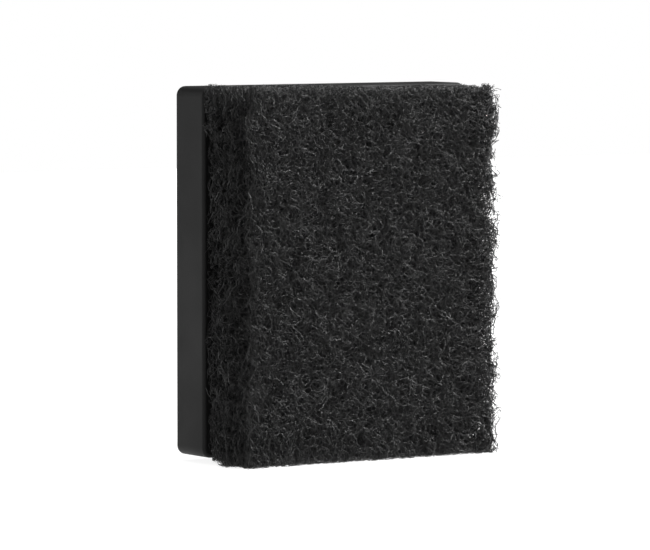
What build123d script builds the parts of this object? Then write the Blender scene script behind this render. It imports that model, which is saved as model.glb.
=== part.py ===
from build123d import *
import os

# A chalkboard eraser: a moulded grip block that carries a thick replaceable pad of non-woven fibre.
# The block is a hollow tray, closed at the front by a screwed plate, with four magnets inside it that
# park the eraser on a steel board. Three strips of hook tape on the plate hold the pad, which peels off.
# The eraser stands on its short end: +Z up, the pad's working face towards -Y, and the origin at the
# middle of the base. All sizes are in millimetres.

# Overall sizes
eraser_height = 100.0
eraser_width = 86.0
grip_depth = 14.0

# Grip shell: the moulded tray
corner_radius = 2.6
front_edge_radius = 0.9
back_edge_radius = 0.7
side_wall = 2.4
back_wall = 2.0
rib_thickness = 1.4
rib_gap = 0.1

# Pad plate: closes the tray and carries the pad
plate_thickness = 2.0
plate_ledge = 1.2
plate_gap = 0.15
post_radius = 3.0
post_gap = 0.1

# Screws that hold the plate to the shell's bosses
boss_radius = 3.2
boss_wall_gap = 1.9
gusset_thickness = 1.2
pilot_radius = 0.95
pilot_depth = 8.0
thread_radius = 1.3
thread_pitch = 0.9
thread_turns = 6
screw_tip = 0.8
screw_head_radius = 2.5
screw_hole_radius = 1.5
recess_width = 0.7
recess_length = 2.8
recess_depth = 0.9

# Magnets and the rings that hold them
magnet_radius = 9.0
magnet_thickness = 5.0
magnet_edge = 0.4
magnet_gap = 0.15
ring_wall = 1.2
ring_height = 3.5

# Hook tape strips
strip_width = 18.0
strip_margin = 4.0
strip_corner = 1.0
strip_screw_gap = 1.4
adhesive_thickness = 0.2
tape_thickness = 0.35
hook_height = 0.55
hook_row_width = 0.5
hook_row_pitch = 1.5

# Fibre pad: two webs bonded face to face
pad_clearance = 0.1
rear_web_thickness = 7.5
bond_thickness = 0.3
front_web_thickness = 9.9
pad_side_inset = 1.9
pad_top_inset = 0.4
pad_shift = -0.7
pad_corner = 2.0
pad_edge_radius = 1.6

# Places along Y, from the back face to the pad's working face
strip_thickness = tape_thickness + hook_height
pad_thickness = rear_web_thickness + bond_thickness + front_web_thickness
total_depth = grip_depth + adhesive_thickness + strip_thickness + pad_clearance + pad_thickness
back_y = total_depth / 2
floor_y = back_y - back_wall
rim_y = back_y - grip_depth
plate_y = rim_y + plate_thickness
tape_y = rim_y - adhesive_thickness
pad_y = tape_y - strip_thickness - pad_clearance
bond_y = pad_y - rear_web_thickness
front_web_y = bond_y - bond_thickness

# Places across the block
middle_z = eraser_height / 2
cavity_width = eraser_width - 2 * side_wall
cavity_height = eraser_height - 2 * side_wall
rebate_width = cavity_width + 2 * plate_ledge
rebate_height = cavity_height + 2 * plate_ledge
plate_width = rebate_width - 2 * plate_gap
plate_height = rebate_height - 2 * plate_gap
boss_x = cavity_width / 2 - boss_wall_gap - boss_radius
boss_z = cavity_height / 2 - boss_wall_gap - boss_radius
magnet_x = cavity_width / 4
magnet_z = cavity_height / 4
strip_x = plate_width / 2 - strip_margin - strip_width / 2
strip_length = 2 * (boss_z - screw_head_radius - strip_screw_gap)
pad_width = eraser_width - 2 * pad_side_inset
pad_height = eraser_height - pad_top_inset


def facing(x, y, z):
    """The plane at a point whose normal looks towards the pad's working face."""
    return Plane(origin=(x, y, z), x_dir=(1, 0, 0), z_dir=(0, -1, 0))


def slab(width, height, radius, start_y, depth, x=0.0, z=middle_z):
    """A block with a rounded outline that runs forward from start_y."""
    outline = facing(x, start_y, z) * RectangleRounded(width, height, radius)
    return extrude(outline, amount=depth)


def rod(x, z, radius, start_y, depth):
    """A round bar that runs forward from start_y."""
    return extrude(facing(x, start_y, z) * Circle(radius), amount=depth)


def bar(x_size, z_size, start_y, depth, x=0.0, z=middle_z):
    """A square-edged bar that runs forward from start_y."""
    return extrude(facing(x, start_y, z) * Rectangle(x_size, z_size), amount=depth)


def corners(x, z):
    """The four places at plus or minus x and z about the block's centre."""
    return [(side * x, middle_z + end * z) for side in (-1, 1) for end in (-1, 1)]


def inner_radius(inset):
    """The corner radius of an outline set in from the block's own."""
    return max(corner_radius - inset, 0.5)


def grip_shell():
    """The moulded tray: back, side walls, plate ledge, ribs, screw bosses and magnet rings."""
    rim_width = side_wall - plate_ledge
    body = slab(eraser_width, eraser_height, corner_radius, back_y, grip_depth)
    body = fillet(body.faces().sort_by(Axis.Y)[-1].edges(), min(back_edge_radius, 0.8 * back_wall))
    body = fillet(body.faces().sort_by(Axis.Y)[0].edges(), min(front_edge_radius, 0.8 * rim_width))
    inside_depth = grip_depth - back_wall
    body -= slab(cavity_width, cavity_height, inner_radius(side_wall), floor_y, inside_depth)
    body -= slab(rebate_width, rebate_height, inner_radius(rim_width), plate_y, plate_thickness)
    standing = inside_depth - plate_thickness
    rib_height = standing - rib_gap
    body += bar(rib_thickness, cavity_height, floor_y, rib_height)
    body += bar(cavity_width, rib_thickness, floor_y, rib_height)
    for x, z in corners(boss_x, boss_z):
        outward = 1 if x > 0 else -1
        gusset_length = boss_wall_gap + boss_radius
        gusset_x = x + outward * gusset_length / 2
        body += rod(x, z, boss_radius, floor_y, standing)
        body += bar(gusset_length, gusset_thickness, floor_y, rib_height, gusset_x, z)
        body -= rod(x, z, pilot_radius, plate_y + pilot_depth, pilot_depth)
    pocket_radius = magnet_radius + magnet_gap
    for x, z in corners(magnet_x, magnet_z):
        ring = rod(x, z, pocket_radius + ring_wall, floor_y, ring_height)
        body += ring - rod(x, z, pocket_radius, floor_y, ring_height)
    return body


def pad_plate():
    """The closing plate, with countersunk holes and a post over each magnet."""
    radius = inner_radius(side_wall - plate_ledge + plate_gap)
    plate = slab(plate_width, plate_height, radius, plate_y, plate_thickness)
    post_length = grip_depth - back_wall - plate_thickness - magnet_thickness - post_gap
    for x, z in corners(magnet_x, magnet_z):
        plate += rod(x, z, post_radius, plate_y + post_length, post_length)
    cone_height = screw_head_radius - screw_hole_radius
    for x, z in corners(boss_x, boss_z):
        cone = Cone(screw_hole_radius, screw_head_radius, cone_height)
        plate -= rod(x, z, screw_hole_radius, plate_y, plate_thickness)
        plate -= facing(x, rim_y + cone_height / 2, z) * cone
    return plate


def plate_screw():
    """One countersunk self-tapping screw, its head at z = 0 and its tip below."""
    head_height = screw_head_radius - screw_hole_radius
    thread_top = -(plate_thickness + 0.3)
    points = [(0, 0), (screw_head_radius, 0), (screw_hole_radius, -head_height)]
    points += [(pilot_radius, -head_height), (pilot_radius, thread_top)]
    for turn in range(thread_turns):
        crest = thread_top - (turn + 0.5) * thread_pitch
        points += [(thread_radius, crest), (pilot_radius, crest - thread_pitch / 2)]
    tip = thread_top - thread_turns * thread_pitch - screw_tip
    points += [(0, tip)]
    profile = make_face(Plane.XZ * Polyline(*points, close=True))
    screw = revolve(profile, Axis.Z)
    for turned in (0, 90):
        slot = Rot(0, 0, turned) * Box(recess_length, recess_width, 2 * recess_depth)
        screw -= slot
    return screw


def plate_screws():
    """The four screws, as separate solids in their holes."""
    placed = [facing(x, rim_y, z) * plate_screw() for x, z in corners(boss_x, boss_z)]
    return Compound(children=placed)


def magnet(x, z):
    """One ferrite disc lying on the tray's floor inside its ring."""
    disc = rod(x, z, magnet_radius, floor_y, magnet_thickness)
    return chamfer(disc.edges().filter_by(GeomType.CIRCLE), magnet_edge)


def adhesive_film(x):
    """The adhesive layer between one strip of hook tape and the plate."""
    return slab(strip_width, strip_length, strip_corner, rim_y, adhesive_thickness, x)


def hook_strip(x):
    """One strip of hook tape: its backing and the rows that the hooks stand in."""
    strip = slab(strip_width, strip_length, strip_corner, tape_y, tape_thickness, x)
    row_count = int((strip_width - 2 * strip_corner) / hook_row_pitch)
    row_length = strip_length - 2 * strip_corner
    for row in range(row_count):
        row_x = x + (row - (row_count - 1) / 2) * hook_row_pitch
        strip += bar(hook_row_width, row_length, tape_y - tape_thickness, hook_height, row_x)
    return strip


def pad_layer(start_y, thickness):
    """One layer of the pad, standing on the same base as the grip block."""
    return slab(pad_width, pad_height, pad_corner, start_y, thickness, pad_shift, pad_height / 2)


def pad_front_web():
    """The working layer, with its front edges softened."""
    web = pad_layer(front_web_y, front_web_thickness)
    edges = web.faces().sort_by(Axis.Y)[0].edges()
    return fillet(edges, min(pad_edge_radius, 0.8 * pad_corner))


pieces = {
    "grip_shell": grip_shell(),
    "pad_plate": pad_plate(),
    "plate_screws": plate_screws(),
    "magnet_lower_left": magnet(-magnet_x, middle_z - magnet_z),
    "magnet_lower_right": magnet(magnet_x, middle_z - magnet_z),
    "magnet_upper_left": magnet(-magnet_x, middle_z + magnet_z),
    "magnet_upper_right": magnet(magnet_x, middle_z + magnet_z),
    "adhesive_left": adhesive_film(-strip_x),
    "adhesive_middle": adhesive_film(0),
    "adhesive_right": adhesive_film(strip_x),
    "hook_strip_left": hook_strip(-strip_x),
    "hook_strip_middle": hook_strip(0),
    "hook_strip_right": hook_strip(strip_x),
    "pad_rear_web": pad_layer(pad_y, rear_web_thickness),
    "pad_bond": pad_layer(bond_y, bond_thickness),
    "pad_front_web": pad_front_web(),
}

os.makedirs("parts", exist_ok=True)
for name, piece in pieces.items():
    export_step(piece, f"parts/{name}.step")
    print(name, round(piece.volume, 1), "mm3")
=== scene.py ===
# %% [markdown]
# # A chalkboard eraser
# The eraser is a shallow moulded block of black plastic with a thick pad of coarse black fibre on its
# front. The pad is held by hook tape and peels off when it is worn. The hard pieces come ready-made from
# the design, so this lesson makes their finishes. The pad is made here: it is a tangle of thousands of
# stiff curled fibres, and no flat texture can stand for that.

# %% The frame and the design's pieces
import math

import bpy
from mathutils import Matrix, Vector


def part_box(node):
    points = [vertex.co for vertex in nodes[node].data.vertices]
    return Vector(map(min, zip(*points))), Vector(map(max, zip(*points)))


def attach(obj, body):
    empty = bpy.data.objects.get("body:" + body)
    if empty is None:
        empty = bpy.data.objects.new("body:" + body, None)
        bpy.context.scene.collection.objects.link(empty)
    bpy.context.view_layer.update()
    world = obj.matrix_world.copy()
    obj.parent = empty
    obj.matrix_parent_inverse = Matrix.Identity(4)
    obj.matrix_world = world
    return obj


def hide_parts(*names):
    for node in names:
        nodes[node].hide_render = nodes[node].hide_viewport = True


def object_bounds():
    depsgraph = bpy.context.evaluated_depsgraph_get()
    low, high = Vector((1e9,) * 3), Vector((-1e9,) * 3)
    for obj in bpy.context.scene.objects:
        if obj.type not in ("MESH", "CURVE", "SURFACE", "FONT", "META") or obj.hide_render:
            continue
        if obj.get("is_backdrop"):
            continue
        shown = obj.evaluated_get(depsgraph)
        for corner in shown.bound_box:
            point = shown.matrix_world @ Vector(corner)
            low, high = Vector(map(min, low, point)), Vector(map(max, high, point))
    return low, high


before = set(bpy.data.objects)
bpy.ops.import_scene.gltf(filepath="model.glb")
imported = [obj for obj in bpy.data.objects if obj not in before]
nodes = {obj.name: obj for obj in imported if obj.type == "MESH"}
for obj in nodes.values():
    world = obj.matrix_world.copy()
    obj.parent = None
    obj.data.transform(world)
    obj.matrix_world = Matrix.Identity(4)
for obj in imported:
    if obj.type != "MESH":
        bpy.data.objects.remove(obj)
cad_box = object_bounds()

MM = 0.001
pad_low = Vector(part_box("pad_front_web")[0])
pad_high = Vector(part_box("pad_rear_web")[1])
print("pad, width, thickness and height in mm:", [round(side / MM, 1) for side in pad_high - pad_low])

# %% [markdown]
# ## The camera
# A small object seen from over a metre away has nearly parallel edges, so the lens is long. The camera
# stands to the left and a little above the top edge. It looks at the middle of the block's back, and a
# few millimetres of shift centre the view.

# %% The camera
azimuth = math.radians(-33.48)
elevation = math.radians(3.82)
lens_length = 277.5
camera_distance = 1.3816
shift_right = 4.53 * MM
shift_down = 2.78 * MM
backward = Vector((
    math.sin(azimuth) * math.cos(elevation),
    -math.cos(azimuth) * math.cos(elevation),
    math.sin(elevation),
))
rightward = Vector((math.cos(azimuth), math.sin(azimuth), 0))
upward = backward.cross(rightward)
aim = Vector((0, cad_box[1].y, (cad_box[0].z + cad_box[1].z) / 2))
camera_data = bpy.data.cameras.new("camera")
camera_data.lens = lens_length
camera = bpy.data.objects.new("camera", camera_data)
camera.location = aim + backward * camera_distance + rightward * shift_right - upward * shift_down
camera.rotation_mode = "QUATERNION"
camera.rotation_quaternion = (-backward).to_track_quat("-Z", "Y")
bpy.context.scene.collection.objects.link(camera)
bpy.context.scene.camera = camera
bpy.context.scene.view_settings.view_transform = "Standard"
print("camera at", [round(part, 3) for part in camera.location])

# %% [markdown]
# ## Small tools
# Every finish and every repeated shape in this lesson is a tree of nodes. A tree could be drawn by hand in
# Blender's editor, but a written one can be read, changed and run again. Two functions add a node and join
# its inputs.

# %% Tools for any node


def put(tree, node, socket, value):
    """Set an input to a value, or join it to another node's result."""
    if isinstance(value, bpy.types.NodeSocket):
        tree.links.new(value, node.inputs[socket])
    else:
        node.inputs[socket].default_value = value


def add(tree, kind, inputs=None, **settings):
    """A node with its settings and its inputs."""
    node = tree.nodes.new(kind)
    for name, value in settings.items():
        setattr(node, name, value)
    for socket, value in (inputs or {}).items():
        put(tree, node, socket, value)
    return node


print("tools that add a node and join its inputs are ready")

# %% [markdown]
# ## Arithmetic with nodes
# Where a fibre goes and how a tone changes are both sums. One node does one step of a sum, so these
# functions let a row of nodes read like a formula.

# %% Tools for arithmetic


def num(tree, operation, *values):
    """The result of arithmetic on numbers."""
    return add(tree, "ShaderNodeMath", dict(enumerate(values)), operation=operation).outputs[0]


def vec(tree, operation, *values):
    """The result of arithmetic on vectors."""
    node = add(tree, "ShaderNodeVectorMath", dict(enumerate(values)), operation=operation)
    return node.outputs["Value" if operation == "LENGTH" else "Vector"]


def times(tree, vector, number):
    """A vector multiplied by a number."""
    node = add(tree, "ShaderNodeVectorMath", {"Vector": vector, "Scale": number}, operation="SCALE")
    return node.outputs["Vector"]


def xyz(tree, x=0.0, y=0.0, z=0.0):
    """A vector from three numbers."""
    return add(tree, "ShaderNodeCombineXYZ", {0: x, 1: y, 2: z}).outputs[0]


def split(tree, vector):
    """The three numbers of a vector."""
    return add(tree, "ShaderNodeSeparateXYZ", {0: vector}).outputs


def eased(tree, value, start, end, at_start, at_end):
    """A number that glides from one value to another as its input goes from start to end."""
    inputs = {"Value": value, "From Min": start, "From Max": end, "To Min": at_start, "To Max": at_end}
    return add(tree, "ShaderNodeMapRange", inputs, interpolation_type="SMOOTHSTEP").outputs[0]


print("tools for numbers and vectors are ready")

# %% [markdown]
# ## Tools for finishes
# The finishes in this lesson have no painted images. Each is one shader, whose colour and roughness follow
# smooth noise and whose fine grain is a bump. So a finish has no seams and fits a piece of any size.

# %% Tools for finishes


def ramp(tree, value, *stops):
    """A grey that follows a value through stops given as pairs of place and lightness."""
    node = add(tree, "ShaderNodeValToRGB", {0: value})
    while len(node.color_ramp.elements) < len(stops):
        node.color_ramp.elements.new(1.0)
    for element, (place, grey) in zip(node.color_ramp.elements, stops):
        element.position = place
        element.color = (grey, grey, grey, 1)
    return node.outputs["Color"]


def new_material(name, **values):
    """A material with one Principled shader. Returns the material, its tree and its shader."""
    material = bpy.data.materials.new(name)
    material.use_nodes = True
    shader = material.node_tree.nodes["Principled BSDF"]
    for socket, value in values.items():
        put(material.node_tree, shader, socket.replace("_", " "), value)
    return material, material.node_tree, shader


def bump(tree, shader, height, distance):
    """Raise a shader's surface where height is lighter."""
    node = add(tree, "ShaderNodeBump", {"Height": height, "Distance": distance})
    put(tree, shader, "Normal", node.outputs[0])


def noise(tree, scale, detail=2.0, place=None, **settings):
    """Smooth noise, on the piece's own coordinates unless a place is given."""
    if place is None:
        place = add(tree, "ShaderNodeTexCoord").outputs["Object"]
    return add(tree, "ShaderNodeTexNoise", {"Vector": place, "Scale": scale, "Detail": detail}, **settings)


print("tools for ramps, noise, bumps and materials are ready")

# %% [markdown]
# ## A white room
# The eraser stands on a white floor in a white room. A plain white floor would turn grey where the lamps
# fall on it weakly, so this one also glows, and shows only a faint shadow. The pad sags a little below the
# block. The floor lies just under the sag, and only a few loose fibres reach through it.

# %% The floor
pad_sag = 1.5 * MM
floor_z = -1.6 * MM
floor_half = 1.5
floor_signs = ((-1, -1), (1, -1), (1, 1), (-1, 1))
floor_corners = [(x * floor_half, y * floor_half, floor_z) for x, y in floor_signs]
floor_mesh = bpy.data.meshes.new("floor")
floor_mesh.from_pydata(floor_corners, [], [(0, 1, 2, 3)])
floor = bpy.data.objects.new("floor", floor_mesh)
bpy.context.scene.collection.objects.link(floor)
floor_white, tree, shader = new_material(
    "floor_white", Base_Color=(0.3, 0.3, 0.3, 1), Roughness=0.9,
    Emission_Color=(1, 1, 1, 1), Emission_Strength=0.88,
)
floor_mesh.materials.append(floor_white)
floor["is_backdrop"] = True
print("the floor lies", round(-floor_z / MM, 1), "mm below the block")

# %% [markdown]
# ## The light
# Black fibre on black plastic is told apart by its light alone. The key lamp, high on the right, lights the
# pad's face, and the top lamp lights the upper edges. Two weak lamps on the left, one in front and one
# behind, keep the shaded side and the gap behind the pad from going black. The walls are seen as white,
# but light the eraser only a little, which keeps the pores dark. The lamps are suns, so their light is the
# same wherever the pad is pulled to.

# %% The room and its lamps
wall_light = 0.1
white = (1, 1, 1, 1)
world = bpy.data.worlds.new("white_room")
bpy.context.scene.world = world
world.use_nodes = True
tree = world.node_tree
seen = add(tree, "ShaderNodeBackground", {"Strength": 1.0, "Color": white}).outputs[0]
lighting = add(tree, "ShaderNodeBackground", {"Strength": wall_light, "Color": white}).outputs[0]
ray = add(tree, "ShaderNodeLightPath").outputs["Is Camera Ray"]
room = add(tree, "ShaderNodeMixShader", {0: ray, 1: lighting, 2: seen}).outputs[0]
put(tree, tree.nodes["World Output"], "Surface", room)


def sky_lamp(name, toward, strength, spread):
    """A distant lamp of even strength. Its spread in degrees sets how soft its shadows are."""
    data = bpy.data.lights.new(name, "SUN")
    data.energy = strength
    data.angle = math.radians(spread)
    made = bpy.data.objects.new(name, data)
    made.rotation_mode = "QUATERNION"
    made.rotation_quaternion = Vector(toward).to_track_quat("Z", "Y")
    bpy.context.scene.collection.objects.link(made)
    print(name, "has strength", strength, "and spreads over", spread, "degrees")


sky_lamp("key_lamp", (0.85, -0.6, 0.75), 6.3, 25)
sky_lamp("top_lamp", (0.1, 0.2, 1.0), 2.0, 60)
sky_lamp("side_lamp", (-1.0, -0.35, 0.45), 0.26, 60)
sky_lamp("edge_lamp", (-0.7, 0.7, 0.35), 0.45, 30)

# %% [markdown]
# ## Moulded plastic
# The block and the plate inside it are injection moulded in black ABS. The tool was sparked to a fine
# matt grain, which scatters the light and keeps the sides free of sharp reflections. A faint cloudiness
# in the colour and the roughness is what handling and chalk leave on it. The block's rounded edges are
# real shapes in the design, so the finish only has to carry the grain.

# %% Moulded plastic
grip_plastic, tree, shader = new_material("matt_black_abs", Roughness=0.5, Specular_IOR_Level=0.14)
cloud = noise(tree, scale=60, detail=3).outputs[0]
grain = noise(tree, scale=2400, detail=1).outputs[0]
put(tree, shader, "Base Color", ramp(tree, cloud, (0.3, 0.006), (0.7, 0.008)))
put(tree, shader, "Roughness", eased(tree, cloud, 0.3, 0.7, 0.46, 0.56))
bump(tree, shader, grain, 0.02 * MM)


def finish(name, material):
    """Give one of the design's pieces its material."""
    nodes[name].data.materials.clear()
    nodes[name].data.materials.append(material)
    print(name, "is", material.name)


finish("grip_shell", grip_plastic)
finish("pad_plate", grip_plastic)

# %% [markdown]
# ## Screws
# Four countersunk screws hold the plate. They are zinc plated steel. Their threads and slots are real
# shapes in the design already, so the finish adds only the slight cloudiness of the plating.

# %% Plated steel
screw_steel, tree, shader = new_material("zinc_plate", Metallic=1.0, Roughness=0.35)
cloud = noise(tree, scale=900, detail=3).outputs[0]
put(tree, shader, "Base Color", ramp(tree, cloud, (0.3, 0.38), (0.7, 0.52)))
put(tree, shader, "Roughness", eased(tree, cloud, 0.3, 0.7, 0.28, 0.42))
grain = noise(tree, scale=5000, detail=1).outputs[0]
bump(tree, shader, grain, 0.005 * MM)
finish("plate_screws", screw_steel)

# %% [markdown]
# ## Magnets
# Four ferrite discs in the block park it on a steel board. Sintered ferrite is a ceramic: dark grey, dull
# and finely pitted. One noise gives both the mottled grey and the pits, so that they fall together.

# %% Sintered ferrite
ferrite, tree, shader = new_material("sintered_ferrite", Metallic=0.3, Roughness=0.55)
pits = noise(tree, scale=3500, detail=2).outputs[0]
put(tree, shader, "Base Color", ramp(tree, pits, (0.35, 0.035), (0.65, 0.065)))
bump(tree, shader, pits, 0.02 * MM)
for name in ("magnet_upper_left", "magnet_upper_right", "magnet_lower_left", "magnet_lower_right"):
    finish(name, ferrite)

# %% [markdown]
# ## Adhesive film
# A film of clear acrylic adhesive lies under each strip of hook tape. Over black plastic only its edge is
# seen, pale and a little milky. A really clear finish would be slow to light and look the same, so a
# solid pale one stands for it.

# %% Acrylic adhesive
adhesive, tree, shader = new_material("acrylic_film", Roughness=0.4)
haze = noise(tree, scale=400, detail=2).outputs[0]
put(tree, shader, "Base Color", ramp(tree, haze, (0.3, 0.32), (0.7, 0.4)))
bump(tree, shader, haze, 0.02 * MM)
for side in ("left", "middle", "right"):
    finish("adhesive_" + side, adhesive)

# %% [markdown]
# ## Growing a piece from a tree
# The hook tape and the pad repeat one small shape hundreds or thousands of times. That could be modelled by
# hand, or copied in a loop. A tree of geometry nodes is quicker and keeps its sizes as inputs. Three
# functions open such a tree, close it, and turn what it makes into a plain mesh.

# %% Tools that grow a piece from a tree


def new_tree(name, **sockets):
    """An empty geometry tree whose inputs are named here with their kinds."""
    tree = bpy.data.node_groups.new(name, "GeometryNodeTree")
    for title, kind in sockets.items():
        tree.interface.new_socket(title.replace("_", " "), in_out="INPUT", socket_type="NodeSocket" + kind)
    tree.interface.new_socket("Geometry", in_out="OUTPUT", socket_type="NodeSocketGeometry")
    return tree, add(tree, "NodeGroupInput").outputs


def end_tree(tree, geometry, material):
    """Finish a tree: real geometry with its material."""
    real = add(tree, "GeometryNodeRealizeInstances", {"Geometry": geometry}).outputs[0]
    coated = add(tree, "GeometryNodeSetMaterial", {"Geometry": real, "Material": material}).outputs[0]
    put(tree, add(tree, "NodeGroupOutput"), 0, coated)


def grow(name, tree, **values):
    """The mesh that a tree makes from these values, as a plain object with no modifier."""
    seed_object = bpy.data.objects.new(name, bpy.data.meshes.new(name))
    bpy.context.scene.collection.objects.link(seed_object)
    modifier = seed_object.modifiers.new("grow", "NODES")
    modifier.node_group = tree
    for item in tree.interface.items_tree:
        value = values.get(item.name.replace(" ", "_"))
        if item.in_out == "INPUT" and value is not None:
            modifier[item.identifier] = value
    grown = seed_object.evaluated_get(bpy.context.evaluated_depsgraph_get())
    mesh = bpy.data.meshes.new_from_object(grown)
    bpy.data.objects.remove(seed_object)
    mesh.name = name
    piece = bpy.data.objects.new(name, mesh)
    bpy.context.scene.collection.objects.link(piece)
    print(name, sum(len(face.vertices) - 2 for face in mesh.polygons), "triangles")
    return piece


print("tools for trees that grow a piece are ready")

# %% [markdown]
# ## Hook tape
# Three strips of hook tape hold the pad. Each is a thin nylon backing with rows of small hooks that catch
# in the web. The tree first makes the backing, a thin sheet with round corners. It then stands the hooks on
# it in rows, each turned and sized a little differently. One hook is a bent wire with few faces, because
# each strip carries hundreds of them.

# %% The hook tape tree: the backing
corner_faces = 6
weld_distance = 0.001 * MM
tree, given = new_tree(
    "hook_tape", Middle="Vector", Width="Float", Length="Float", Corner="Float", Backing="Float",
    Rows="Int", Hooks_Per_Row="Int", Margin="Float", Wire="Float", Hook="Float", Seed="Int",
    Material="Material",
)
hook_tape_tree = tree
outline = add(tree, "GeometryNodeCurvePrimitiveQuadrilateral", {0: given["Width"], 1: given["Length"]})
rounded = add(tree, "GeometryNodeFilletCurve", {"Curve": outline.outputs[0], "Radius": given["Corner"]})
put(tree, rounded, "Limit Radius", True)
rounded.mode = "POLY"
put(tree, rounded, "Count", corner_faces)
sheet = add(tree, "GeometryNodeFillCurve", {0: rounded.outputs[0]}, mode="NGONS").outputs[0]
raised = add(tree, "GeometryNodeExtrudeMesh",
             {"Mesh": sheet, "Offset Scale": given["Backing"], "Individual": False})
under = add(tree, "GeometryNodeFlipFaces", {0: sheet}).outputs[0]
both = add(tree, "GeometryNodeJoinGeometry")
tree.links.new(raised.outputs[0], both.inputs[0])
tree.links.new(under, both.inputs[0])
backing = add(tree, "GeometryNodeMergeByDistance",
              {"Geometry": both.outputs[0], "Distance": weld_distance}).outputs[0]
print("the backing takes", len(tree.nodes), "nodes")

# %% The hook tape tree: the hooks
most_lean = 0.12
most_twist = 0.35
smallest_hook = 0.85
span = num(tree, "SUBTRACT", given["Width"], given["Margin"])
reach = num(tree, "SUBTRACT", given["Length"], given["Margin"])
grid = add(tree, "GeometryNodeMeshGrid",
           {0: span, 1: reach, 2: given["Rows"], 3: given["Hooks Per Row"]}).outputs[0]

# One hook is drawn one unit tall, and gets its real size when it is placed.
bent = add(tree, "GeometryNodeCurvePrimitiveBezierSegment", {
    "Resolution": 5, "Start": (0, 0, 0), "Start Handle": (0, -0.1, 1.0), "End Handle": (0, 0.85, 1.35),
    "End": (0, 0.65, 0.45),
}).outputs[0]
wire = add(tree, "GeometryNodeCurvePrimitiveCircle", {"Resolution": 3, "Radius": given["Wire"]}).outputs[0]
hook = add(tree, "GeometryNodeCurveToMesh", {0: bent, 1: wire, "Fill Caps": True}).outputs[0]

# Every hook leans and twists a little, by chance.
turned = add(tree, "FunctionNodeRandomValue", data_type="FLOAT_VECTOR")
turned.inputs[0].default_value = (-most_lean, -most_lean, -most_twist)
turned.inputs[1].default_value = (most_lean, most_lean, most_twist)
put(tree, turned, "Seed", given["Seed"])
other_seed = num(tree, "ADD", given["Seed"], 1)
swell = add(tree, "FunctionNodeRandomValue", {2: smallest_hook, 3: 1.0, "Seed": other_seed})
hook_size = num(tree, "MULTIPLY", swell.outputs[1], given["Hook"])
stood = add(tree, "GeometryNodeInstanceOnPoints", {
    "Points": grid, "Instance": hook, "Rotation": turned.outputs[0], "Scale": hook_size,
}).outputs[0]
lifted = add(tree, "GeometryNodeTransform",
             {"Geometry": stood, "Translation": xyz(tree, 0.0, 0.0, given["Backing"])}).outputs[0]
whole = add(tree, "GeometryNodeJoinGeometry")
tree.links.new(backing, whole.inputs[0])
tree.links.new(lifted, whole.inputs[0])
placed = add(tree, "GeometryNodeTransform", {
    "Geometry": whole.outputs[0], "Translation": given["Middle"], "Rotation": (math.radians(90), 0, 0),
}).outputs[0]
end_tree(tree, placed, given["Material"])
print("the whole tree takes", len(tree.nodes), "nodes")

# %% Hook tape
hook_tape, tree, shader = new_material("hook_nylon", Roughness=0.38)
tint = noise(tree, scale=700, detail=2).outputs[0]
put(tree, shader, "Base Color", ramp(tree, tint, (0.3, 0.014), (0.7, 0.026)))
weave = noise(tree, scale=3000, detail=1).outputs[0]
bump(tree, shader, weave, 0.02 * MM)
for number, side in enumerate(("left", "middle", "right")):
    low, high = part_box("hook_strip_" + side)
    tape = grow(
        "hooks_" + side, hook_tape_tree, Middle=((low[0] + high[0]) / 2, high[1], (low[2] + high[2]) / 2),
        Width=high[0] - low[0], Length=high[2] - low[2], Corner=1.0 * MM, Backing=0.35 * MM, Rows=11,
        Hooks_Per_Row=60, Margin=2.6 * MM, Wire=0.16, Hook=0.46 * MM, Seed=20 + number, Material=hook_tape,
    )
    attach(tape, "holder")
    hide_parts("hook_strip_" + side)

# %% [markdown]
# ## The fibre's finish
# The pad is a non-woven web of crimped nylon. The fibres are laid down loose by air, needled
# and stuck where they cross, so they lie mostly flat to the face, curl at random and leave open
# pores between them. They are about a seventh of a millimetre thick. Most are black, some are
# slightly greyer at random, and their glossy sides pick up small glints. The palest few are painted
# much lighter still, as painted glints beside the real ones. The tree below stores a random shade on
# each fibre, and this finish turns it into colour and gloss. That takes one material, where a material
# for each tone would take many.

# %% Fibre finish
fibre, tree, shader = new_material("crimped_nylon", Roughness=0.34, Specular_IOR_Level=0.42)
shade = add(tree, "ShaderNodeAttribute", attribute_name="shade").outputs["Fac"]
# The top stop makes the palest fibres much lighter, a painted glint; the stops below it are the fibres' own
# random tones.
tones_and_painted_glints = ramp(tree, shade, (0.0, 0.001), (0.5, 0.005), (0.85, 0.0155), (1.0, 0.066))
put(tree, shader, "Base Color", tones_and_painted_glints)
put(tree, shader, "Roughness", eased(tree, shade, 0.0, 1.0, 0.42, 0.26))
print(fibre.name, "goes from black and dull to grey and glossy")

# %% [markdown]
# ## One tree for every fibre
# A pad like this could be hair from a particle system, or a solid with a furry texture. A tree of nodes was
# chosen because it gives real tubes that hold up at the edges, and because each region of the pad can use
# it with its own numbers. It works on one long row of points, with the same number for each fibre. Whatever
# is drawn by chance is drawn once for a whole fibre.

# %% The fibre tree: its inputs and its row of points
tree, given = new_tree(
    "fibre_web", Count="Int", Steps="Int", Low="Vector", High="Vector", Pad_Low="Vector",
    Pad_High="Vector", Side_Radii="Vector", Rim_Radii="Vector", Least_Reach="Float",
    Most_Reach="Float", Length="Float", Radius="Float", Tightest="Float", Widest="Float",
    Tilt="Float", Crimp="Float", Crimp_Scale="Float", Swell="Float", Rag="Float", Lean="Float",
    Sag="Float", Lift="Float", Map_Cells="Int", Seed="Int", Material="Material",
)
fibre_tree = tree
index = add(tree, "GeometryNodeInputIndex").outputs[0]
strand = num(tree, "FLOOR", num(tree, "DIVIDE", index, given["Steps"]))
step = num(tree, "SUBTRACT", index, num(tree, "MULTIPLY", strand, given["Steps"]))
along = num(tree, "DIVIDE", step, num(tree, "SUBTRACT", given["Steps"], 1))


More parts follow.
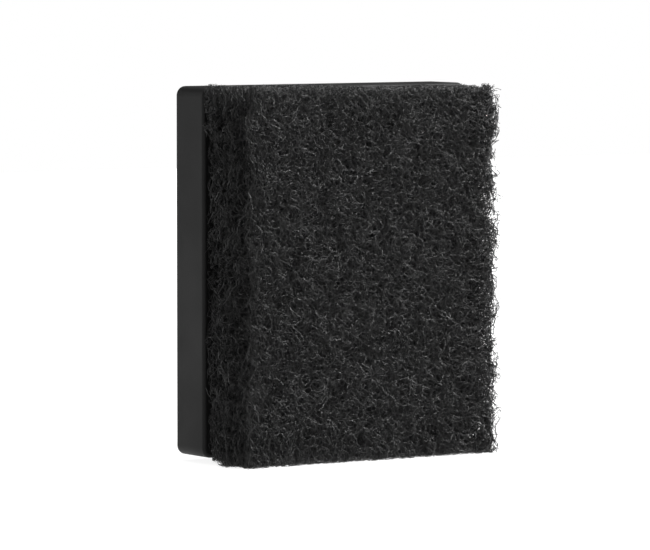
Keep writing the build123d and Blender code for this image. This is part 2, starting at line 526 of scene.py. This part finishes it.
def chance(tree, given, draw, low, high, kind="FLOAT"):
    """A random value that is the same all along one fibre. Each draw number gives another set."""
    first = 0 if kind == "FLOAT_VECTOR" else 2
    seed = num(tree, "ADD", given["Seed"], draw)
    inputs = {first: low, first + 1: high, "ID": strand, "Seed": seed}
    return add(tree, "FunctionNodeRandomValue", inputs, data_type=kind).outputs[first // 2]


print("the fibre tree has", len(given) - 1, "inputs")

# %% [markdown]
# ## The path of one fibre
# Each fibre starts at a random place in its region and follows an arc of its own. Most arcs are tight, and
# a few are wide, as in a web of short curled fibres. The arc lies in a plane that leans a little out of the
# pad's face. Smooth noise then bends the path further, which is its crimp.

# %% The fibre tree: the arc and the crimp
shortest = 0.6
longest = 1.4
favour_tight = 1.5
noise_step = 0.0173
noise_middle = (0.5, 0.5, 0.5)
crimp_share = (1.0, 0.6, 1.0)
root = chance(tree, given, 1, given["Low"], given["High"], "FLOAT_VECTOR")
heading = chance(tree, given, 2, 0.0, 2 * math.pi)
least_tilt = num(tree, "MULTIPLY", given["Tilt"], -1)
rise = chance(tree, given, 3, least_tilt, given["Tilt"])
roll = chance(tree, given, 4, least_tilt, given["Tilt"])
spread = num(tree, "SUBTRACT", given["Widest"], given["Tightest"])
looseness = num(tree, "POWER", chance(tree, given, 5, 0.0, 1.0), favour_tight)
bend = num(tree, "ADD", given["Tightest"], num(tree, "MULTIPLY", spread, looseness))
length = num(tree, "MULTIPLY", given["Length"], chance(tree, given, 6, shortest, longest))

# The arc, in a plane that leans a little away from the pad's face.
turn = num(tree, "DIVIDE", num(tree, "MULTIPLY", num(tree, "SUBTRACT", along, 0.5), length), bend)
head_x = num(tree, "COSINE", heading)
head_z = num(tree, "SINE", heading)
forward = xyz(tree, head_x, rise, head_z)
aside = xyz(tree, num(tree, "MULTIPLY", head_z, -1), roll, head_x)
run = num(tree, "MULTIPLY", bend, num(tree, "SINE", turn))
drift = num(tree, "MULTIPLY", bend, num(tree, "SUBTRACT", 1.0, num(tree, "COSINE", turn)))
place = vec(tree, "ADD", root, vec(tree, "ADD", times(tree, forward, run), times(tree, aside, drift)))

# The crimp: each fibre meets its own part of the noise.
own = xyz(tree, num(tree, "MULTIPLY", strand, noise_step), 0.0, 0.0)
crimp_noise = noise(tree, given["Crimp Scale"], 1.0, vec(tree, "ADD", place, own)).outputs["Color"]
crimp = times(tree, vec(tree, "SUBTRACT", crimp_noise, noise_middle), given["Crimp"])
place = vec(tree, "ADD", place, vec(tree, "MULTIPLY", crimp, crimp_share))

print("the tree has", len(tree.nodes), "nodes so far")

# %% [markdown]
# ## Keeping the fibres in the pad
# A path that would leave the pad could be cut off at its surface, but that would leave blunt stubs. Here
# it folds back instead, so that fibres loop at the surface and cover it well. The pad's edges are soft, and
# are rounded in the same step.

# %% The fibre tree: folds and rounded edges
height_share = 0.35
square_back = 0.2

# Fold back at the pad's surfaces. Each fibre reaches a little further, or less far, than the next.
reach = chance(tree, given, 7, given["Least Reach"], given["Most Reach"])
margin = xyz(tree, reach, reach, num(tree, "MULTIPLY", reach, height_share))
fold_low = vec(tree, "SUBTRACT", given["Pad Low"], margin)
fold_high = vec(tree, "ADD", given["Pad High"], margin)
inside = split(tree, vec(tree, "SUBTRACT", place, fold_low))
sides = split(tree, vec(tree, "SUBTRACT", fold_high, fold_low))
folded = [num(tree, "PINGPONG", inside[axis], sides[axis]) for axis in range(3)]
place = vec(tree, "ADD", xyz(tree, *folded), fold_low)

# Round the upright edges by the side radii, then the edges at the top and the foot by the rim radii.
# A point outside the rounded box moves in to it. The edges at the back stay almost square.
for radii in (given["Side Radii"], given["Rim Radii"]):
    flat_low = vec(tree, "ADD", fold_low, radii)
    high_radii = vec(tree, "MULTIPLY", radii, (1.0, square_back, 1.0))
    flat_high = vec(tree, "SUBTRACT", fold_high, high_radii)
    nearest = vec(tree, "MINIMUM", vec(tree, "MAXIMUM", place, flat_low), flat_high)
    overhang = vec(tree, "SUBTRACT", place, nearest)
    rounds = vec(tree, "LENGTH", vec(tree, "DIVIDE", overhang, radii))
    share = num(tree, "MINIMUM", 1.0, num(tree, "DIVIDE", 1.0, rounds))
    place = vec(tree, "ADD", nearest, times(tree, overhang, share))

print("the tree has", len(tree.nodes), "nodes so far")

# %% [markdown]
# ## Uneven, leaning and sagging
# A real pad is not a perfect block. Noise swells the web here and there and makes its upright edges ragged.
# The cut on the left side leans, the foot of the pad sags towards its front, and the top stands a little
# proud on the left. Nothing is moved back past the pad's rear face, so the gap behind it stays open.

# %% The fibre tree: the uneven web
swell_scale = 220.0
rag_scale = 170.0
swell_share = (1.0, 0.5, 0.2)
lean_depth = 9 * MM
lean_width = 10 * MM
foot_height = 9 * MM
foot_depth = 8 * MM
head_height = 6 * MM
head_middle = 25 * MM
head_right = 50 * MM
swell_noise = noise(tree, swell_scale, 1.0, place).outputs["Color"]
swell = times(tree, vec(tree, "SUBTRACT", swell_noise, noise_middle), given["Swell"])
place = vec(tree, "ADD", place, vec(tree, "MULTIPLY", swell, swell_share))
rag = num(tree, "SUBTRACT", noise(tree, rag_scale, 1.0, place).outputs[0], 0.5)
place = vec(tree, "ADD", place, xyz(tree, num(tree, "MULTIPLY", rag, given["Rag"])))
x, y, z = split(tree, place)
low_x, low_y, low_z = split(tree, given["Pad Low"])
lean_back = num(tree, "MULTIPLY", given["Lean"], -0.5)
near_front = eased(tree, num(tree, "SUBTRACT", y, low_y), 0.0, lean_depth, given["Lean"], lean_back)
near_left = eased(tree, num(tree, "SUBTRACT", x, low_x), 1 * MM, lean_width, 1.0, 0.0)
high_y, high_z = split(tree, given["Pad High"])[1:]
foot = eased(tree, num(tree, "SUBTRACT", z, low_z), 0.0, foot_height, given["Sag"], 0.0)
forward_share = eased(tree, num(tree, "SUBTRACT", high_y, y), 0.0, foot_depth, 0.5, 1.0)
head = eased(tree, num(tree, "SUBTRACT", high_z, z), 0.0, head_height, given["Lift"], 0.0)
left_share = eased(tree, num(tree, "SUBTRACT", x, low_x), head_middle, head_right, 1.0, 0.0)
x = num(tree, "ADD", x, num(tree, "MULTIPLY", near_front, near_left))
z = num(tree, "SUBTRACT", z, num(tree, "MULTIPLY", foot, forward_share))
z = num(tree, "ADD", z, num(tree, "MULTIPLY", head, left_share))
place = xyz(tree, x, num(tree, "MINIMUM", y, high_y), z)

print("the tree has", len(tree.nodes), "nodes so far")

# %% [markdown]
# ## From paths to fibres
# The row of points becomes one curve for each fibre, and each curve a thin tube. Three sides are enough to
# look round at this size and keep the piece light. Each fibre gets its own shade.

# %% The fibre tree: tubes
thinnest = 0.7
thickest = 1.3
cell_start = 0.2
cell_end = 0.8
cell_share = (0.1, 0.35, 0.0)
points = add(tree, "GeometryNodePoints",
             {"Count": num(tree, "MULTIPLY", given["Count"], given["Steps"]), "Position": place}).outputs[0]
curves = add(tree, "GeometryNodePointsToCurves",
             {"Points": points, "Curve Group ID": strand, "Weight": along}).outputs[0]

# Each fibre has a square cell of its own on a flat map, so that no two fibres share a place on it.
cell_y = num(tree, "FLOOR", num(tree, "DIVIDE", strand, given["Map Cells"]))
cell_x = num(tree, "SUBTRACT", strand, num(tree, "MULTIPLY", cell_y, given["Map Cells"]))
cell_along = num(tree, "ADD", cell_x, eased(tree, along, 0.0, 1.0, cell_start, cell_end))
cell = xyz(tree, cell_along, num(tree, "ADD", cell_y, 0.5), 0.0)
curves = add(tree, "GeometryNodeStoreNamedAttribute", {
    "Geometry": curves, "Name": "cell", "Value": cell,
}, data_type="FLOAT_VECTOR", domain="POINT").outputs[0]
curves = add(tree, "GeometryNodeStoreNamedAttribute", {
    "Geometry": curves, "Name": "shade", "Value": chance(tree, given, 8, 0.0, 1.0),
}, data_type="FLOAT", domain="POINT").outputs[0]
ring = add(tree, "GeometryNodeCurvePrimitiveCircle", {"Resolution": 3, "Radius": 1.0}).outputs[0]
around = vec(tree, "MULTIPLY", add(tree, "GeometryNodeInputPosition").outputs[0], cell_share)
ring = add(tree, "GeometryNodeStoreNamedAttribute", {
    "Geometry": ring, "Name": "around", "Value": around,
}, data_type="FLOAT_VECTOR", domain="POINT").outputs[0]
girth = num(tree, "MULTIPLY", given["Radius"], chance(tree, given, 9, thinnest, thickest))
tubes = add(tree, "GeometryNodeCurveToMesh",
            {"Curve": curves, "Profile Curve": ring, "Scale": girth, "Fill Caps": True}).outputs[0]
smooth = add(tree, "GeometryNodeSetShadeSmooth", {"Geometry": tubes, "Shade Smooth": True}).outputs[0]
print("the tree has", len(tree.nodes), "nodes so far")

# %% [markdown]
# ## A map for the fibres' colour
# The colour of every fibre can be laid out flat on a square map. An automatic unwrap of so many
# small tubes would take long and waste most of the square. The tree knows which fibre is which and how
# far along it a point lies, so it writes the map itself.

# %% The fibre tree: the map


def stored(tree, name):
    """A vector that the tree stored on the fibres earlier."""
    return add(tree, "GeometryNodeInputNamedAttribute", {"Name": name}, data_type="FLOAT_VECTOR").outputs[0]


on_map = vec(tree, "ADD", stored(tree, "cell"), stored(tree, "around"))
map_scale = num(tree, "DIVIDE", 1.0, given["Map Cells"])
mapped = add(tree, "GeometryNodeStoreNamedAttribute", {
    "Geometry": smooth, "Name": "OFBake", "Value": times(tree, on_map, map_scale),
}, data_type="FLOAT2", domain="CORNER").outputs[0]
for name in ("cell", "around"):
    mapped = add(tree, "GeometryNodeRemoveAttribute", {"Geometry": mapped, "Name": name}).outputs[0]
end_tree(tree, mapped, given["Material"])
print("the whole tree takes", len(tree.nodes), "nodes")

# %% [markdown]
# ## The web, region by region
# The outer four millimetres of the pad are real fibres, and the outer two at the back, which is as deep as
# the light and the eye reach. They are grown as one piece per region. One function holds what the regions
# share, and each region names only what is different about it.

# %% A function for one region
skin = 4 * MM
back_skin = 2 * MM
outer_layer = 1.2 * MM
second_layer = 2.6 * MM
left, front, bottom = pad_low
right, rear, top = pad_high


def web(name, low, high, count, seed, **changes):
    """One region of the web between two corners."""
    values = dict(
        Count=count, Steps=9, Low=low, High=high, Pad_Low=pad_low, Pad_High=pad_high,
        Side_Radii=Vector((5.0, 3.8, 0.0)) * MM, Rim_Radii=Vector((2.0, 1.6, 1.6)) * MM,
        Least_Reach=-0.5 * MM, Most_Reach=0.4 * MM, Length=6.5 * MM, Radius=0.07 * MM,
        Tightest=1.1 * MM, Widest=5 * MM, Tilt=0.6, Crimp=1.8 * MM, Crimp_Scale=800.0,
        Swell=2.2 * MM, Rag=3.6 * MM, Lean=1.4 * MM, Sag=pad_sag, Lift=0.9 * MM,
        Map_Cells=math.ceil(math.sqrt(count)), Seed=seed, Material=fibre,
    )
    values.update(changes)
    piece = grow(name, fibre_tree, **values)
    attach(piece, "pad")


print("the web is", skin / MM, "mm deep, and", back_skin / MM, "mm at the back")

# %% [markdown]
# ## The face of the pad
# The face is what wipes the board. It is grown in three layers, and the outer one in two halves, so that
# the fibres cross at every depth the eye can reach and each piece stays light enough to handle.

# %% The face
half_way = bottom + 50 * MM
web("face_fibres_lower", (left, front, bottom), (right, front + outer_layer, half_way), 3900, 100)
web("face_fibres_upper", (left, front, half_way), (right, front + outer_layer, top), 3900, 150)
middle_low = (left, front + outer_layer, bottom)
web("face_fibres_middle", middle_low, (right, front + second_layer, top), 3900, 200)
deep_low = (left, front + second_layer, bottom)
web("face_fibres_deep", deep_low, (right, front + skin, top), 3900, 300)

# %% [markdown]
# ## The sides, the top, the foot and the back
# The pad was cut on its four sides, so the cut shows the web edge-on. The right side is looser and its
# fibres are thicker, so that light shows through its outline. The foot gets a second thin layer, because
# the web is pressed together where the eraser stands on it.

# %% The other sides
web("left_fibres", (left, front + skin, bottom), (left + skin, rear, top), 3400, 400)
loose = dict(Radius=0.095 * MM, Rag=5 * MM, Swell=4.2 * MM)
web("right_fibres", (right - skin, front, bottom), (right, rear, top), 2400, 500,
    Least_Reach=-2.4 * MM, Most_Reach=1.7 * MM, **loose)
web("top_fibres", (left + skin, front + skin, top - skin), (right - skin, rear, top), 2300, 600)
web("bottom_fibres", (left + skin, front + skin, bottom), (right - skin, rear, bottom + skin), 2100, 700)
web("foot_fibres", (left, front, bottom), (right, rear, bottom + 1.5 * MM), 3600, 750,
    Least_Reach=-0.8 * MM, Most_Reach=0.1 * MM, Tilt=0.3)
back_low = (left + skin, rear - back_skin, bottom + skin)
web("rear_fibres", back_low, (right - skin, rear, top - skin), 3000, 800)

# %% [markdown]
# ## The dense middle of the pad
# Below the fibres that can be seen, the web is packed with more of the same. One dark lumpy body stands
# for it: it stops light and sight, and its surface is broken up so that it reads as more fibre. It is a
# box of small faces whose corners are rounded and whose points are moved by noise.

# %% The dense middle: its tree
lump_scale = 260.0
tree, given = new_tree(
    "dense_middle", Low="Vector", High="Vector", Corner="Float", Lumps="Float", Material="Material",
)
dense_tree = tree
size = vec(tree, "SUBTRACT", given["High"], given["Low"])
box = add(tree, "GeometryNodeMeshCube", {
    "Size": size, "Vertices X": 52, "Vertices Y": 12, "Vertices Z": 60}).outputs[0]
centre = times(tree, vec(tree, "ADD", given["High"], given["Low"]), 0.5)
place = vec(tree, "ADD", add(tree, "GeometryNodeInputPosition").outputs[0], centre)
corner = xyz(tree, given["Corner"], given["Corner"], given["Corner"])
inner_low = vec(tree, "ADD", given["Low"], corner)
inner_high = vec(tree, "SUBTRACT", given["High"], corner)
nearest = vec(tree, "MINIMUM", vec(tree, "MAXIMUM", place, inner_low), inner_high)
overhang = vec(tree, "SUBTRACT", place, nearest)
share = num(tree, "MINIMUM", 1.0, num(tree, "DIVIDE", given["Corner"], vec(tree, "LENGTH", overhang)))
place = vec(tree, "ADD", nearest, times(tree, overhang, share))
lump_noise = noise(tree, lump_scale, 3.0, place).outputs["Color"]
lumps = vec(tree, "SUBTRACT", lump_noise, noise_middle)
place = vec(tree, "ADD", place, times(tree, lumps, given["Lumps"]))
moved = add(tree, "GeometryNodeSetPosition", {"Geometry": box, "Position": place}).outputs[0]
smooth = add(tree, "GeometryNodeSetShadeSmooth", {"Geometry": moved, "Shade Smooth": True}).outputs[0]
end_tree(tree, smooth, given["Material"])
print("the dense middle's tree takes", len(tree.nodes), "nodes")

# %% The dense middle
margin_low = Vector((3.6, 3.4, 3.4)) * MM
margin_high = Vector((2.8, 1.6, 3.6)) * MM
dense_fibre, tree, shader = new_material("dense_fibre", Roughness=0.8, Specular_IOR_Level=0.2)
strands = noise(tree, scale=1500, detail=3, noise_type="RIDGED_MULTIFRACTAL").outputs[0]
put(tree, shader, "Base Color", ramp(tree, strands, (0.3, 0.003), (0.9, 0.011)))
bump(tree, shader, strands, 0.3 * MM)
core = grow(
    "dense_middle", dense_tree, Low=pad_low + margin_low, High=pad_high - margin_high,
    Corner=2.2 * MM, Lumps=1.6 * MM, Material=dense_fibre,
)
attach(core, "pad")
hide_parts("pad_front_web", "pad_rear_web", "pad_bond")

# %% [markdown]
# ## Loose ends
# The blade that cut the pad from a wide roll left loops and ends standing out of its edges. So some
# fibres are allowed past the surface: about seven hundred all over the front, nine hundred more along the
# right edge, a tuft at the upper rear corner and a frayed tuft at the foot of the left side.

# %% Loose ends
loose_depth = front + 8 * MM
web("loose_ends", (left, front, bottom), (right, loose_depth, top), 700, 900,
    Least_Reach=0.2 * MM, Most_Reach=1.2 * MM, Radius=0.075 * MM, Length=8 * MM, Tilt=0.9)
edge_low = (right - 1.5 * MM, front, bottom)
edge_high = (right + 0.5 * MM, loose_depth, top)
web("right_loose_ends", edge_low, edge_high, 900, 970,
    Least_Reach=0.2 * MM, Most_Reach=1.8 * MM, Length=5 * MM, Tilt=0.9, **loose)

# %% Tufts
upper_low = (left - 0.8 * MM, rear - 5 * MM, top - 11 * MM)
upper_high = (left + 1 * MM, rear, top)
web("upper_corner_tuft", upper_low, upper_high, 240, 930,
    Least_Reach=0.5 * MM, Most_Reach=1.4 * MM, Radius=0.065 * MM, Length=5 * MM, Tilt=0.9)
frayed_low = (left - 0.3 * MM, -8 * MM, bottom - 0.5 * MM)
frayed_high = (left + 1.5 * MM, -4 * MM, bottom + 1 * MM)
web("frayed_tuft", frayed_low, frayed_high, 24, 950,
    Least_Reach=0.3 * MM, Most_Reach=0.9 * MM, Radius=0.055 * MM, Length=4 * MM, Tightest=0.8 * MM)

# %% [markdown]
# ## The finished size
# The lesson ends by measuring the space that the finished model takes. The space that the design
# takes was measured at the start, so the two can be compared.

# %% The finished size
low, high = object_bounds()
